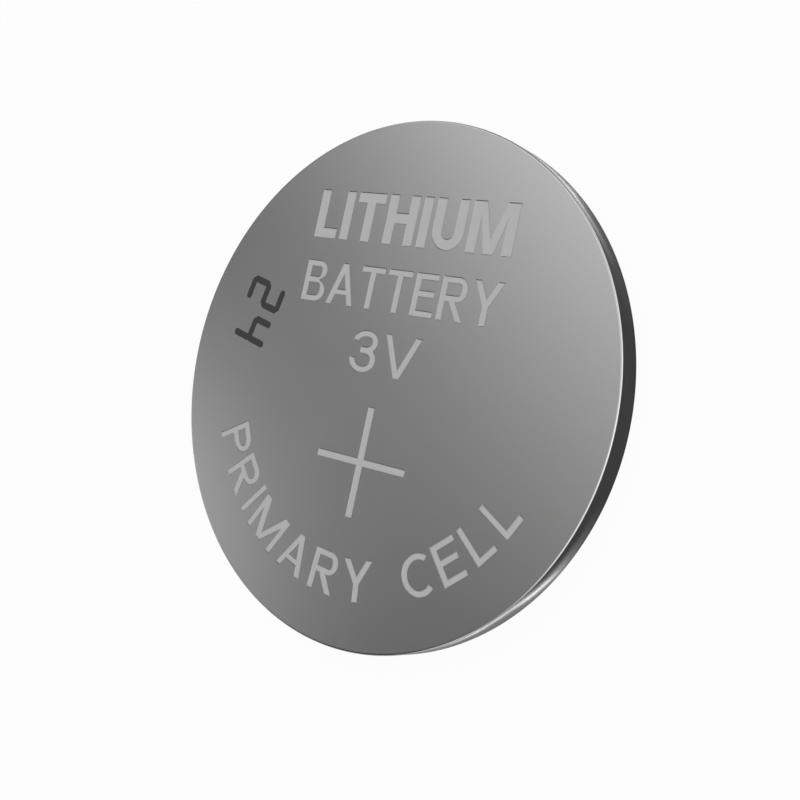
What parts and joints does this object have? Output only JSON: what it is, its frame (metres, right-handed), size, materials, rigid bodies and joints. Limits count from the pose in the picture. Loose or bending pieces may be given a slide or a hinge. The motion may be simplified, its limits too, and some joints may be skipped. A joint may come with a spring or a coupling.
{
  "type": "lithium coin cell",
  "caption": "Flat round lithium coin cell: steel can rolled over a plastic gasket and a stepped negative cap, with anode, separator, cathode and collector inside.",
  "frame": {"origin": "centre of the negative face, on the surface that the cell lies on", "axes": "+Z along the cell's axis, from the negative face to the positive face"},
  "size_m": [0.02, 0.02, 0.0016],
  "materials": {
    "can_steel": "satin",
    "gasket_plastic": "matte moulded polypropylene",
    "cap_steel": "satin",
    "lithium_metal": "soft dull metal",
    "separator_felt": "pressed felt",
    "cathode_mix": "pressed powder",
    "collector_steel": "pierced sheet"
  },
  "bodies": {
    "root": {"positive_can": "can_steel", "gasket": "gasket_plastic", "negative_cap": "cap_steel", "lithium_anode": "lithium_metal", "separator": "separator_felt", "cathode_pellet": "cathode_mix", "cathode_collector": "collector_steel"}
  },
  "joints": []
}
